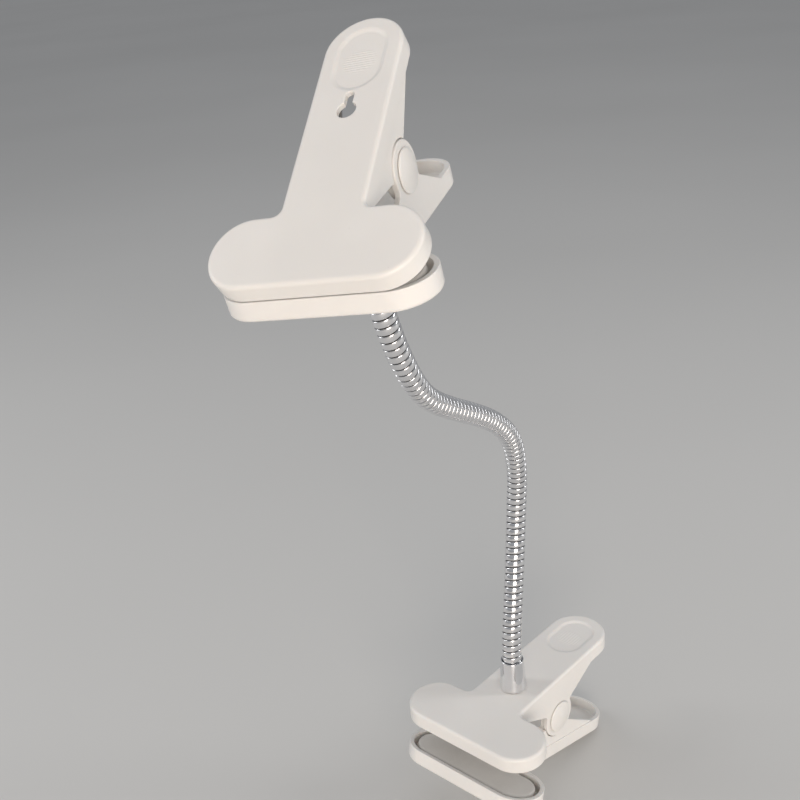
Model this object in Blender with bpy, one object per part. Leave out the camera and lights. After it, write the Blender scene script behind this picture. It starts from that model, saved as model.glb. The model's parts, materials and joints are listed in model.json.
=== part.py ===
"""Double-ended clip holder: two spring clips joined by a flexible metal neck.

World frame: the origin is on the lower rim of the base clip's upper jaw, at the
middle of its front edge, which is where the clip sits on a table. +X runs from
the mouth to the handle of the base clip, +Z points up, out of that jaw's plate.
Each clip is built in its own frame, on the outer face of its socket jaw, with
the mouth's front edge at x = 0. Sizes are in millimetres until they reach a mesh.
"""
import bmesh
import bpy
from math import acos, asin, atan2, cos, pi, radians, sin, tan
from mathutils import Matrix, Vector

MM = 0.001

# One jaw, seen from outside: a wide rounded bar (the mouth) and a long handle.
MOUTH_WIDTH = 70.6
MOUTH_DEPTH = 26.2
HANDLE_WIDTH = 28.0
CLIP_LENGTH = 107.0
CORNER_FILLET = 3.0
SKIRT = 7.1              # depth of the rim round a jaw
WALL = 2.0
PLATE = 2.0
EDGE_ROUND = 1.4

# Pivot, and the ears that hold its pin.
PIVOT_X = 57.3
PIVOT_DROP = 21.2        # below the outer face of each jaw
EAR_BOSS_RADIUS = 10.0
EAR = 2.0
EAR_GAP = 0.3            # between a socket jaw's ears and the keyhole jaw's lugs inside them
SOCKET_SLOPE = [(89.0, -5.0), (68.4, -15.4)]
KEYHOLE_SLOPE = [(95.5, -5.0), (68.6, -15.2)]
CHEEK_SINK = 0.6         # how far a keyhole jaw's cheeks stand behind its wall
CHEEK_CLEARANCE = 0.5    # between a cheek and the other jaw's boss
LUG_RADIUS = 9.0
LUG_REACH = 14.0         # half the length of a lug's root
PIN_RADIUS = 2.0
PIN_BORE = 1.25
PIN_HOLE = 2.3
CAP_RADIUS = 7.4
CAP_HEIGHT = 1.7

# Openings in the plates.
RECESS_START = 75.2
RECESS_END = 101.2
RECESS_RADIUS = 8.5
RECESS_DEPTH = 0.6
RECESS_SLOPE = 1.2       # how wide its sloping wall is
KEYHOLE_X = 66.2
KEYHOLE_RADIUS = 3.3
KEYHOLE_SLOT_RADIUS = 1.5
KEYHOLE_SLOT_END = 72.4

# Grip facings, spring and the neck's fixing.
FACING_GROOVE = 2.0
FACING_SINK = 0.6
FACING_BEVEL = 0.8
SPRING_COIL_RADIUS = 4.2
SPRING_WIRE_RADIUS = 0.8
SPRING_TURNS = 6
SPRING_PITCH = 2.3
SPRING_FOOT_X = 80.0
FERRULE_X = 41.3
FERRULE_LENGTH = 15.6
FERRULE_BASE_RADIUS = 6.1
FERRULE_TOP_RADIUS = 5.2
SCREW_RADIUS = 1.9
SCREW_HEAD_RADIUS = 3.5
WASHER_RADIUS = 4.8

# Opening between the plates of the two jaws, in degrees.
CLOSED_ANGLE = 27.3
BASE_ANGLE = 15.0        # held open by a table top
TOP_ANGLE = CLOSED_ANGLE

# The top clip: where its ferrule stands, and how its socket jaw is turned.
TOP_FERRULE = Vector((-41.7, -13.2, 238.3))
TOP_OUTWARD = Vector((0.19, -0.05, -0.98))
TOP_HANDLE = Vector((0.914, 0.3735, 0.158))

# The neck: a chain of straight lengths, hinged at these points.
NECK_RADIUS = 4.5
NECK_BORE_RADIUS = 2.4
NECK_IN_FERRULE = 9.0
NECK_END_GAP = 0.2
NECK_END_SLOPE = 16.5    # degrees, so that two lengths can lean together
NECK_FIRST_HINGE = 26.0  # above each plate, on the ferrule's axis
NECK_HINGES = [
    (46.0, 2.0, 53.0), (52.5, 5.0, 72.0), (57.5, 7.0, 92.0), (57.5, 5.5, 112.0),
    (50.0, 2.0, 131.0), (35.5, -1.0, 145.0), (18.5, -4.0, 156.0), (1.0, -6.5, 166.0),
    (-16.0, -10.0, 177.5), (-28.5, -13.7, 193.5),
]

WHITE = ("white_plastic", (0.86, 0.84, 0.81), 0.38, 0.0)
GRIP = ("grip_rubber", (0.74, 0.71, 0.67), 0.75, 0.0)
CHROME = ("chrome", (0.82, 0.82, 0.83), 0.12, 1.0)
STEEL = ("spring_steel", (0.52, 0.52, 0.53), 0.32, 1.0)


def clear_scene():
    for thing in list(bpy.data.objects):
        bpy.data.objects.remove(thing, do_unlink=True)


def material(look):
    name, colour, roughness, metallic = look
    found = bpy.data.materials.get(name)
    if found:
        return found
    made = bpy.data.materials.new(name)
    made.use_nodes = True
    shader = made.node_tree.nodes["Principled BSDF"]
    shader.inputs["Base Color"].default_value = (*colour, 1.0)
    shader.inputs["Roughness"].default_value = roughness
    shader.inputs["Metallic"].default_value = metallic
    return made


def arc(centre, radius, start, end, steps):
    """Points on an arc in degrees, both ends included."""
    points = []
    for i in range(steps + 1):
        angle = radians(start + (end - start) * i / steps)
        points.append((centre[0] + radius * cos(angle), centre[1] + radius * sin(angle)))
    return points


def jaw_outline(inset):
    """The T-shaped outline of a jaw, moved inward by inset."""
    end_y = (MOUTH_WIDTH - MOUTH_DEPTH) / 2
    end_radius = MOUTH_DEPTH / 2 - inset
    corner_x = MOUTH_DEPTH + CORNER_FILLET
    corner_y = HANDLE_WIDTH / 2 + CORNER_FILLET
    corner_radius = CORNER_FILLET + inset
    handle_x = CLIP_LENGTH - HANDLE_WIDTH / 2
    points = arc((MOUTH_DEPTH / 2, -end_y), end_radius, 180, 360, 14)
    points += arc((corner_x, -corner_y), corner_radius, 180, 90, 3)
    points += arc((handle_x, 0), HANDLE_WIDTH / 2 - inset, -90, 90, 14)
    points += arc((corner_x, corner_y), corner_radius, 270, 180, 3)
    points += arc((MOUTH_DEPTH / 2, end_y), end_radius, 0, 180, 14)
    return points


def stadium(centre_x, half_length, radius):
    """A bar with round ends, long across the jaw."""
    points = arc((centre_x, radius - half_length), radius, 180, 360, 12)
    return points + arc((centre_x, half_length - radius), radius, 0, 180, 12)


def recess_outline(grow):
    """The thumb recess: an oval along the handle, halfway up its sloping wall when grow is 0."""
    radius = RECESS_RADIUS + grow
    points = arc((RECESS_END - RECESS_RADIUS, 0), radius, -90, 90, 12)
    return points + arc((RECESS_START + RECESS_RADIUS, 0), radius, 90, 270, 12)


def keyhole_outline():
    """A round hole that runs out into a narrow slot."""
    meet = 180 * asin(KEYHOLE_SLOT_RADIUS / KEYHOLE_RADIUS) / pi
    points = arc((KEYHOLE_X, 0), KEYHOLE_RADIUS, meet, 360 - meet, 18)
    return points + arc((KEYHOLE_SLOT_END, 0), KEYHOLE_SLOT_RADIUS, -90, 90, 6)


def stack(levels):
    """A closed mesh through flat outlines laid one after another: (points, z)."""
    mesh = bmesh.new()
    loops = [[mesh.verts.new((x, y, z)) for x, y in points] for points, z in levels]
    for low, high in zip(loops, loops[1:]):
        count = len(low)
        for i in range(count):
            j = (i + 1) % count
            mesh.faces.new((low[i], low[j], high[j], high[i]))
    mesh.faces.new(loops[0])
    mesh.faces.new(loops[-1])
    bmesh.ops.recalc_face_normals(mesh, faces=mesh.faces[:])
    return mesh


def turned(profile, sides=24):
    """A solid of revolution about Z, from (radius, z) points that start and end on it."""
    mesh = bmesh.new()
    rings = []
    for radius, z in profile:
        if radius == 0:
            rings.append([mesh.verts.new((0, 0, z))])
        else:
            ring = arc((0, 0), radius, 0, 360 - 360 / sides, sides - 1)
            rings.append([mesh.verts.new((x, y, z)) for x, y in ring])
    for low, high in zip(rings, rings[1:]):
        for i in range(sides):
            j = (i + 1) % sides
            corners = [low[i % len(low)], low[j % len(low)], high[j % len(high)], high[i % len(high)]]
            mesh.faces.new(list(dict.fromkeys(corners)))
    bmesh.ops.recalc_face_normals(mesh, faces=mesh.faces[:])
    return mesh


def turned_ring(profile, sides=24):
    """A ring about Z, from a closed loop of (radius, z) points."""
    mesh = bmesh.new()
    spokes = []
    for i in range(sides):
        angle = 2 * pi * i / sides
        spokes.append([mesh.verts.new((r * cos(angle), r * sin(angle), z)) for r, z in profile])
    count = len(profile)
    for i in range(sides):
        here = spokes[i]
        after = spokes[(i + 1) % sides]
        for j in range(count):
            k = (j + 1) % count
            mesh.faces.new((here[j], here[k], after[k], after[j]))
    bmesh.ops.recalc_face_normals(mesh, faces=mesh.faces[:])
    return mesh


def in_metres(place):
    """A placement in millimetres as a placement in metres."""
    return Matrix.Translation(place.translation * MM) @ place.to_3x3().to_4x4()


def add(name, mesh, look, place=Matrix.Identity(4), smooth=None):
    """Turn a mesh in millimetres into an object placed in metres."""
    data = bpy.data.meshes.new(name)
    mesh.to_mesh(data)
    mesh.free()
    data.transform(Matrix.Scale(MM, 4))
    data.materials.append(material(look))
    thing = bpy.data.objects.new(name, data)
    bpy.context.collection.objects.link(thing)
    thing.matrix_world = in_metres(place)
    if smooth is not None:
        data.set_sharp_from_angle(angle=radians(smooth))
        data.polygons.foreach_set("use_smooth", [True] * len(data.polygons))
    return thing


def combine(target, tool_mesh, operation):
    """Join or cut with a tool made in the target's own coordinates."""
    tool = add(target.name + "_tool", tool_mesh, WHITE)
    tool.matrix_world = target.matrix_world
    tool.hide_render = True
    tool.display_type = "WIRE"
    bpy.context.view_layer.update()
    modifier = target.modifiers.new(operation, "BOOLEAN")
    modifier.operation = operation
    modifier.solver = "EXACT"
    modifier.object = tool
    graph = bpy.context.evaluated_depsgraph_get()
    shape = bpy.data.meshes.new_from_object(target.evaluated_get(graph))
    target.modifiers.clear()
    old = target.data
    target.data = shape
    bpy.data.meshes.remove(old)
    bpy.data.objects.remove(tool, do_unlink=True)
    tidy = bmesh.new()
    tidy.from_mesh(target.data)
    bmesh.ops.remove_doubles(tidy, verts=tidy.verts[:], dist=0.000001)
    bmesh.ops.dissolve_degenerate(tidy, edges=tidy.edges[:], dist=0.0000005)
    tidy.to_mesh(target.data)
    tidy.free()


def across(mesh, x, z):
    """Turn a mesh whose axis is Z to lie along Y at (x, z)."""
    place = Matrix.Translation((x, 0, z)) @ Matrix.Rotation(pi / 2, 4, "X")
    bmesh.ops.transform(mesh, matrix=place, verts=mesh.verts[:])
    return mesh


def slab(points, low_y, high_y):
    """A plate in the XZ plane between two Y values."""
    mesh = bmesh.new()
    near = [mesh.verts.new((x, low_y, z)) for x, z in points]
    far = [mesh.verts.new((x, high_y, z)) for x, z in points]
    for i in range(len(points)):
        j = (i + 1) % len(points)
        mesh.faces.new((near[i], near[j], far[j], far[i]))
    mesh.faces.new(near)
    mesh.faces.new(far)
    bmesh.ops.recalc_face_normals(mesh, faces=mesh.faces[:])
    return mesh


def ear_outline(boss_radius, slope):
    """Side view of an ear: a slope down to the pivot's boss and back up towards the mouth."""
    points = slope + arc((PIVOT_X, -PIVOT_DROP), boss_radius, 28, -205, 14)
    return points + [(46.0, -15.2), (30.0, -8.0), (30.0, -5.0)]


def lug_outline():
    """Side view of a lug: a straight root under the plate, with a boss on the pivot."""
    front, back = PIVOT_X - LUG_REACH, PIVOT_X + LUG_REACH
    points = [(back, -1.0), (back, -13.9)]
    points += arc((PIVOT_X, -PIVOT_DROP), LUG_RADIUS, 28, -205, 14)
    return points + [(front, -13.7), (front, -1.0)]


def jaw_shell():
    """A hollow jaw with a rounded outer edge and a rim all round."""
    levels = []
    for step in range(4):
        angle = radians(90 * step / 3)
        inset = EDGE_ROUND * (1 - sin(angle))
        levels.append((jaw_outline(inset), -EDGE_ROUND * (1 - cos(angle))))
    levels.append((jaw_outline(0), -SKIRT))
    levels.append((jaw_outline(WALL), -SKIRT))
    levels.append((jaw_outline(WALL), -PLATE))
    return stack(levels)


def moved_to_pivot(mesh):
    """Put the pivot at the mesh's own origin."""
    bmesh.ops.translate(mesh, vec=(-PIVOT_X, 0, PIVOT_DROP), verts=mesh.verts[:])
    return mesh


def add_ear(jaw, side):
    """A socket jaw's ear, flush with its wall."""
    low, high = sorted((side * HANDLE_WIDTH / 2, side * (HANDLE_WIDTH / 2 - EAR)))
    combine(jaw, moved_to_pivot(slab(ear_outline(EAR_BOSS_RADIUS, SOCKET_SLOPE), low, high)), "UNION")


def add_cheek_and_lug(jaw, side):
    """A keyhole jaw's cheek, cut clear of the other jaw's boss, and the lug that goes inside that jaw's ear."""
    outer = HANDLE_WIDTH / 2 - CHEEK_SINK
    low, high = sorted((side * outer, side * (outer - EAR)))
    combine(jaw, moved_to_pivot(slab(ear_outline(LUG_RADIUS, KEYHOLE_SLOPE), low, high)), "UNION")
    radius = EAR_BOSS_RADIUS + CHEEK_CLEARANCE
    low, high = sorted((-side * (outer - EAR - 0.5), -side * (outer + 0.5)))
    clear = turned([(0, low), (radius, low), (radius, high), (0, high)], 48)
    combine(jaw, across(clear, 0, 0), "DIFFERENCE")
    lug = HANDLE_WIDTH / 2 - EAR - EAR_GAP
    low, high = sorted((side * lug, side * (lug - EAR)))
    combine(jaw, moved_to_pivot(slab(lug_outline(), low, high)), "UNION")


def build_jaw(name, place, has_keyhole):
    """One jaw, with its origin on the pivot."""
    jaw = add(name, moved_to_pivot(jaw_shell()), WHITE, place)
    for side in (-1, 1):
        if has_keyhole:
            add_cheek_and_lug(jaw, side)
        else:
            add_ear(jaw, side)
    bore = across(turned([(0, -20), (PIN_HOLE, -20), (PIN_HOLE, 20), (0, 20)]), 0, 0)
    combine(jaw, bore, "DIFFERENCE")
    floor = recess_outline(-RECESS_SLOPE / 2)
    lip = recess_outline(RECESS_SLOPE * 1.5)
    recess = stack([(floor, -RECESS_DEPTH), (lip, RECESS_DEPTH)])
    combine(jaw, moved_to_pivot(recess), "DIFFERENCE")
    if has_keyhole:
        hole = stack([(keyhole_outline(), -5.0), (keyhole_outline(), 2.0)])
    else:
        screw_hole = arc((FERRULE_X, 0), PIN_HOLE, 0, 345, 23)
        hole = stack([(screw_hole, -5.0), (screw_hole, 2.0)])
    combine(jaw, moved_to_pivot(hole), "DIFFERENCE")
    jaw.data.set_sharp_from_angle(angle=radians(35))
    jaw.data.polygons.foreach_set("use_smooth", [True] * len(jaw.data.polygons))
    return jaw


def build_facing(name, place):
    """The rubber facing moulded to fill a mouth, with its origin on the pivot like its jaw's."""
    half_length = MOUTH_WIDTH / 2 - WALL - FACING_GROOVE
    radius = MOUTH_DEPTH / 2 - WALL - FACING_GROOVE
    grip_z = FACING_SINK - SKIRT
    side = stadium(MOUTH_DEPTH / 2, half_length, radius)
    grip = stadium(MOUTH_DEPTH / 2, half_length - FACING_BEVEL, radius - FACING_BEVEL)
    levels = [(side, -PLATE - 0.3), (side, grip_z + 0.6), (grip, grip_z)]
    return add(name, moved_to_pivot(stack(levels)), GRIP, place, smooth=40)


def build_pin(name, place):
    half = HANDLE_WIDTH / 2
    profile = [(PIN_BORE, -half), (PIN_RADIUS, -half), (PIN_RADIUS, half), (PIN_BORE, half)]
    return add(name, across(turned_ring(profile, 20), 0, 0), STEEL, place, smooth=40)


def build_cap(name, place, side):
    """A shallow dome with a stem that plugs into the hollow pin."""
    face = HANDLE_WIDTH / 2 + 0.25
    stem = PIN_BORE - 0.25
    profile = [(0, face - 5), (stem, face - 5), (stem, face), (CAP_RADIUS, face), (CAP_RADIUS, face + 0.5)]
    dome_radius = (CAP_RADIUS ** 2 + (CAP_HEIGHT - 0.5) ** 2) / (2 * (CAP_HEIGHT - 0.5))
    for fraction in (0.85, 0.6, 0.3):
        radius = CAP_RADIUS * fraction
        sag = dome_radius - (dome_radius ** 2 - radius ** 2) ** 0.5
        profile.append((radius, face + CAP_HEIGHT - sag))
    profile.append((0, face + CAP_HEIGHT))
    turn = Matrix.Rotation(-side * pi / 2, 4, "X")
    return add(name, turned(profile), WHITE, place @ turn, smooth=40)


def build_spring(name, place, angle):
    """A coil round the pin with one straight leg against the inside of each handle."""
    foot = Vector((SPRING_FOOT_X - PIVOT_X, PIVOT_DROP - PLATE - SPRING_WIRE_RADIUS - 0.3))
    reach = foot.length
    upper_foot = atan2(foot.y, foot.x)
    lower_foot = -upper_foot - radians(angle)
    leave = acos(SPRING_COIL_RADIUS / reach)
    first = lower_foot - leave
    sweep = first - (upper_foot + leave) + 2 * pi * (SPRING_TURNS + 1)
    half = SPRING_TURNS * SPRING_PITCH / 2
    steps = int(sweep / radians(30))
    points = [(reach * cos(lower_foot), -half, reach * sin(lower_foot))]
    for i in range(steps + 1):
        turn = first - sweep * i / steps
        y = half * (2 * i / steps - 1)
        points.append((SPRING_COIL_RADIUS * cos(turn), y, SPRING_COIL_RADIUS * sin(turn)))
    points.append((reach * cos(upper_foot), half, reach * sin(upper_foot)))

    curve = bpy.data.curves.new(name, "CURVE")
    curve.dimensions = "3D"
    curve.bevel_depth = SPRING_WIRE_RADIUS * MM
    curve.bevel_resolution = 1
    curve.use_fill_caps = True
    wire = curve.splines.new("POLY")
    wire.points.add(len(points) - 1)
    for knot, (x, y, z) in zip(wire.points, points):
        knot.co = (x * MM, y * MM, z * MM, 1)
    curve.materials.append(material(STEEL))
    spring = bpy.data.objects.new(name, curve)
    bpy.context.collection.objects.link(spring)
    spring.matrix_world = in_metres(place)
    return spring


def build_ferrule(name, place):
    """The polished cup that the neck's end sits in."""
    bore = NECK_RADIUS + 0.25
    floor = FERRULE_LENGTH - NECK_IN_FERRULE - 0.3
    profile = [
        (PIN_HOLE, 0.25), (FERRULE_BASE_RADIUS, 0.25), (FERRULE_BASE_RADIUS, 1.2),
        (FERRULE_TOP_RADIUS, FERRULE_LENGTH - 0.5), (FERRULE_TOP_RADIUS - 0.2, FERRULE_LENGTH),
        (bore, FERRULE_LENGTH), (bore, floor), (PIN_HOLE, floor),
    ]
    return add(name, turned_ring(profile, 32), CHROME, place, smooth=30)


def build_washer(name, place):
    top = -PLATE - 0.25
    profile = [(PIN_HOLE, top - 0.8), (WASHER_RADIUS, top - 0.8), (WASHER_RADIUS, top), (PIN_HOLE, top)]
    return add(name, turned_ring(profile), STEEL, place, smooth=40)


def build_screw(name, place):
    """The screw that comes up through the plate into the ferrule."""
    head = -PLATE - 1.3
    tip = FERRULE_LENGTH - NECK_IN_FERRULE - 0.9
    profile = [
        (0, head - 2.2), (SCREW_HEAD_RADIUS - 0.6, head - 2.2), (SCREW_HEAD_RADIUS, head - 1.4),
        (SCREW_HEAD_RADIUS, head), (SCREW_RADIUS, head), (SCREW_RADIUS, tip - 0.5),
        (SCREW_RADIUS - 0.5, tip), (0, tip),
    ]
    return add(name, turned(profile), STEEL, place, smooth=40)


def build_clip(prefix, place, angle):
    """All the pieces of one clip, on an empty that stands at its mouth."""
    frame = bpy.data.objects.new(prefix + "_clip", None)
    bpy.context.collection.objects.link(frame)
    frame.matrix_world = in_metres(place)
    pivot = place @ Matrix.Translation((PIVOT_X, 0, -PIVOT_DROP))
    swing = pivot @ Matrix.Rotation(radians(angle), 4, "Y") @ Matrix.Rotation(pi, 4, "X")
    socket = place @ Matrix.Translation((FERRULE_X, 0, 0))
    pieces = [
        build_jaw(prefix + "_socket_jaw", pivot, False),
        build_jaw(prefix + "_keyhole_jaw", swing, True),
        build_facing(prefix + "_socket_grip_facing", pivot),
        build_facing(prefix + "_keyhole_grip_facing", swing),
        build_pin(prefix + "_pivot_pin", pivot),
        build_cap(prefix + "_pivot_cap_left", pivot, 1),
        build_cap(prefix + "_pivot_cap_right", pivot, -1),
        build_spring(prefix + "_torsion_spring", pivot, angle),
        build_ferrule(prefix + "_ferrule", socket),
        build_washer(prefix + "_neck_washer", socket),
        build_screw(prefix + "_neck_screw", socket),
    ]
    bpy.context.view_layer.update()
    for piece in pieces:
        piece.parent = frame
        piece.matrix_parent_inverse = frame.matrix_world.inverted()


def neck_length(name, start, end, plain_start=False, plain_end=False):
    """One straight length of tube; a hinged end slopes back towards its rim, so that it can lean."""
    run = end - start
    lean = tan(radians(NECK_END_SLOPE))
    inner_gap = NECK_END_GAP + NECK_BORE_RADIUS * lean
    outer_gap = NECK_END_GAP + NECK_RADIUS * lean
    low_inner, low_outer = (0.0, 0.0) if plain_start else (inner_gap, outer_gap)
    high_inner, high_outer = (0.0, 0.0) if plain_end else (inner_gap, outer_gap)
    profile = [
        (NECK_BORE_RADIUS, low_inner), (NECK_RADIUS, low_outer),
        (NECK_RADIUS, run.length - high_outer), (NECK_BORE_RADIUS, run.length - high_inner),
    ]
    place = Matrix.Translation(start) @ run.to_track_quat("Z", "Y").to_matrix().to_4x4()
    return add(name, turned_ring(profile, 20), CHROME, place, smooth=30)


def build_neck(base, top):
    """The neck's lengths, from the base clip's ferrule to the top clip's."""
    inside = Vector((FERRULE_X, 0, FERRULE_LENGTH - NECK_IN_FERRULE))
    hinge = Vector((FERRULE_X, 0, NECK_FIRST_HINGE))
    stops = [base @ inside, base @ hinge]
    stops += [Vector(point) for point in NECK_HINGES]
    stops += [top @ hinge, top @ inside]
    count = len(stops) - 1
    for i in range(count):
        name = "neck_length_%02d" % (i + 1)
        neck_length(name, stops[i], stops[i + 1], plain_start=i == 0, plain_end=i == count - 1)


def top_clip_place():
    """The top clip's frame, worked out from its ferrule and two directions."""
    outward = TOP_OUTWARD.normalized()
    handle = (TOP_HANDLE - outward * TOP_HANDLE.dot(outward)).normalized()
    side = outward.cross(handle)
    turn = Matrix((handle, side, outward)).transposed().to_4x4()
    return Matrix.Translation(TOP_FERRULE - handle * FERRULE_X) @ turn


clear_scene()
base_place = Matrix.Translation((-WALL / 2, 0, SKIRT))
top_place = top_clip_place()
build_clip("base", base_place, BASE_ANGLE)
build_clip("top", top_place, TOP_ANGLE)
build_neck(base_place, top_place)
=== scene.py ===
import json
from math import acos, atan2, cos, hypot, pi, radians, sin, sqrt

import bmesh
import bpy
from mathutils import Matrix, Vector


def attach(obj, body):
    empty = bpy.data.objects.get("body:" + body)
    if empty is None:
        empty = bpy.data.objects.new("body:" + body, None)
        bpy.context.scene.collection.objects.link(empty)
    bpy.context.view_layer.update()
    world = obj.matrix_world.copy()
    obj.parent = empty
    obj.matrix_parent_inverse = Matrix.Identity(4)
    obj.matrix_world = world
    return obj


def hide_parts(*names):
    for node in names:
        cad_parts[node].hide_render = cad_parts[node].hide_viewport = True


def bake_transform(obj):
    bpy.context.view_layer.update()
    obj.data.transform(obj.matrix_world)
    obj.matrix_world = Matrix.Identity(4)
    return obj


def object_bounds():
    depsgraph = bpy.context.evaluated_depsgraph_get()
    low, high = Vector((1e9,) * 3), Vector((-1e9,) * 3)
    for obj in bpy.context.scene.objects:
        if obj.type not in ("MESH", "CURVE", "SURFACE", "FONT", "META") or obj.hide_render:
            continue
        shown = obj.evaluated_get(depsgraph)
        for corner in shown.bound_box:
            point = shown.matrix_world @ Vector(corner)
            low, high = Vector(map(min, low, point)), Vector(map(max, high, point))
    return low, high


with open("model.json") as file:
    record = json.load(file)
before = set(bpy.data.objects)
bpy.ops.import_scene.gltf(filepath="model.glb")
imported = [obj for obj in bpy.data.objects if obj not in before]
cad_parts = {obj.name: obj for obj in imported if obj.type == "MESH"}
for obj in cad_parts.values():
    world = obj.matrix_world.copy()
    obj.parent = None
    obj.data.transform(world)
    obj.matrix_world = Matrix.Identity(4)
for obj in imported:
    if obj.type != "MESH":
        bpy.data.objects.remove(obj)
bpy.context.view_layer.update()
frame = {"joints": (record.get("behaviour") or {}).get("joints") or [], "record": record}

# Sizes of the CAD part, in millimetres. Both jaws are drawn in the same frame: the plate's outer
# face at z = 0, the mouth's front edge at x = 0, and the handle running along +X.
MM = 0.001
MOUTH_WIDTH, MOUTH_DEPTH = 70.6, 26.2
HANDLE_WIDTH, CLIP_LENGTH = 28.0, 107.0
CORNER_FILLET, EDGE_ROUND = 3.0, 1.4
SKIRT, WALL, PLATE = 7.1, 2.0, 2.0
PIVOT_X, PIVOT_DROP = 57.3, 21.2
BOSS_RADIUS = 10.0
EAR, EAR_GAP = 2.0, 0.3
SOCKET_SLOPE = ((89.0, -5.0), (68.4, -15.4))
KEYHOLE_SLOPE = ((95.5, -5.0), (68.6, -15.2))
CHEEK_SINK, CHEEK_CLEARANCE = 0.6, 0.5
CHEEK_ROOT = ((94.0, -5.0), (31.0, -5.0))
LUG_RADIUS, LUG_REACH = 9.0, 14.0
LUG_TOP, LUG_BACK, LUG_FRONT = -1.0, -13.9, -13.7
LUG_SWEEP = (28, -205)
PIN_RADIUS, PIN_BORE, PIN_HOLE = 2.0, 1.25, 2.3
CAP_RADIUS, CAP_HEIGHT = 7.4, 1.7
RECESS_START, RECESS_END, RECESS_RADIUS, RECESS_DEPTH = 75.2, 101.2, 8.5, 0.6
KEYHOLE_X, KEYHOLE_RADIUS = 66.2, 3.3
KEYHOLE_SLOT_END, KEYHOLE_SLOT_RADIUS = 72.4, 1.5
FACING_GROOVE, FACING_SINK = 2.0, 0.6
COIL_RADIUS, WIRE_RADIUS, TURNS, PITCH, FOOT_X = 4.2, 0.8, 6, 2.3, 80.0
FERRULE_X, FERRULE_LENGTH = 41.3, 15.6
FERRULE_BASE, FERRULE_TOP = 6.1, 5.2
SCREW_RADIUS, SCREW_HEAD, WASHER_RADIUS = 1.9, 3.5, 4.8
NECK_RADIUS, NECK_IN_FERRULE = 4.5, 9.0
JAW_ANGLE = {"base": 15.0, "top": 27.3}

# The lower edge of a side wall, from the mouth to the handle's end: where it leaves the skirt,
# the bend and direction of its front slope, and the roundings along it.
EDGE_START_X = 29.6
FRONT_BEND, FRONT_SLOPE = (46.0, -15.2), (2.69, -1.99)
START_ROUND, BEND_ROUND, BOSS_FILLET, END_ROUND = 2.5, 6.0, 1.5, 3.0
# Where the columns above the boss begin and end along the plate's edge.
COLUMNS_AT = (53.4, 53.6, 61.0, 61.2)

# Fine detail that only the visual model has.
LIP_ROUND = 0.3
INNER_FILLET = 0.8
CHEEK_ROUND, LUG_ROUND, KEYHOLE_ROUND = 0.35, 0.3, 0.35
FACING_ROUND, FACING_CROWN = 0.9, 0.3
RECESS_SLOPE, RECESS_RING = 2.2, 0.25
RIB_CENTRE, RIB_LENGTH, RIB_WIDTH, RIB_HEIGHT, RIB_PITCH = 87.4, 5.3, 6.6, 0.1, 1.0
NECK_PITCH, NECK_SEGMENTS = 3.0, 40
CURVE_STEPS = 120
SHARP_ANGLE = 32
SMALL_ROUND = (0, 22, 45, 68, 90)

JOINTS = {joint["name"]: joint for joint in frame["joints"]}
MOUNTS = {mount["name"]: mount for mount in frame["record"]["mounts"]}
PIVOT = Vector((PIVOT_X, 0, -PIVOT_DROP))


# ---------------------------------------------------------------- placing

def clip_frames(clip):
    """Where the frames of a clip's socket jaw and keyhole jaw stand, in millimetres."""
    joint = JOINTS[clip + "_jaw_hinge"]
    along = Vector(joint["axis"]).normalized()
    outward = Vector(MOUNTS[clip + "_hanging_face"]["axis"])
    outward = (outward - along * outward.dot(along)).normalized()
    turn = Matrix((along.cross(outward), along, outward)).transposed().to_4x4()
    back = Matrix.Rotation(pi, 4, "X") @ Matrix.Rotation(-radians(JAW_ANGLE[clip]), 4, "Y")
    pivot = Matrix.Translation(Vector(joint["pos_m"]) / MM)
    from_pivot = Matrix.Translation(-PIVOT)
    return {"keyhole": pivot @ turn @ from_pivot, "socket": pivot @ turn @ back @ from_pivot}


def add_piece(name, data, place, look, nodes):
    """An object made from a mesh in millimetres, with its place baked into it."""
    data = data.copy()
    data.name = name
    data.transform(Matrix.Scale(MM, 4) @ place)
    data.materials.clear()
    data.materials.append(look)
    piece = bpy.data.objects.new(name, data)
    bpy.context.scene.collection.objects.link(piece)
    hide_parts(*nodes)
    return piece


# ---------------------------------------------------------------- mesh helpers

def smoothed(data, sharp=SHARP_ANGLE):
    """Shade a mesh smooth apart from its corners."""
    data.polygons.foreach_set("use_smooth", [True] * len(data.polygons))
    data.set_sharp_from_angle(angle=radians(sharp))
    return data


def finished(mesh, sharp=SHARP_ANGLE):
    """A bmesh as smoothed mesh data with its faces pointing out."""
    bmesh.ops.recalc_face_normals(mesh, faces=mesh.faces[:])
    data = bpy.data.meshes.new("shape")
    mesh.to_mesh(data)
    mesh.free()
    return smoothed(data, sharp)


def even_normals(piece):
    """Keep broad flat faces flat where they meet small roundings."""
    modifier = piece.modifiers.new("even_normals", "WEIGHTED_NORMAL")
    modifier.mode = "FACE_AREA"
    modifier.weight = 50
    modifier.keep_sharp = True
    return piece


def arc(centre, radius, start, end, steps):
    """Points with outward normals on an arc in degrees, both ends included."""
    found = []
    for i in range(steps + 1):
        angle = radians(start + (end - start) * i / steps)
        normal = Vector((cos(angle), sin(angle)))
        found.append((Vector(centre) + normal * radius, normal))
    return found


def quarter(steps):
    """Angles across a quarter round."""
    return [radians(90 * step / steps) for step in range(steps + 1)]


def hollow(stations):
    """The same points seen from the other side."""
    return [(point, -normal) for point, normal in stations]


def bridge(mesh, low, high, closed=True):
    """Quads between two rows of vertices."""
    count = len(low)
    for i in range(count if closed else count - 1):
        j = (i + 1) % count
        mesh.faces.new((low[i], low[j], high[j], high[i]))


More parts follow.
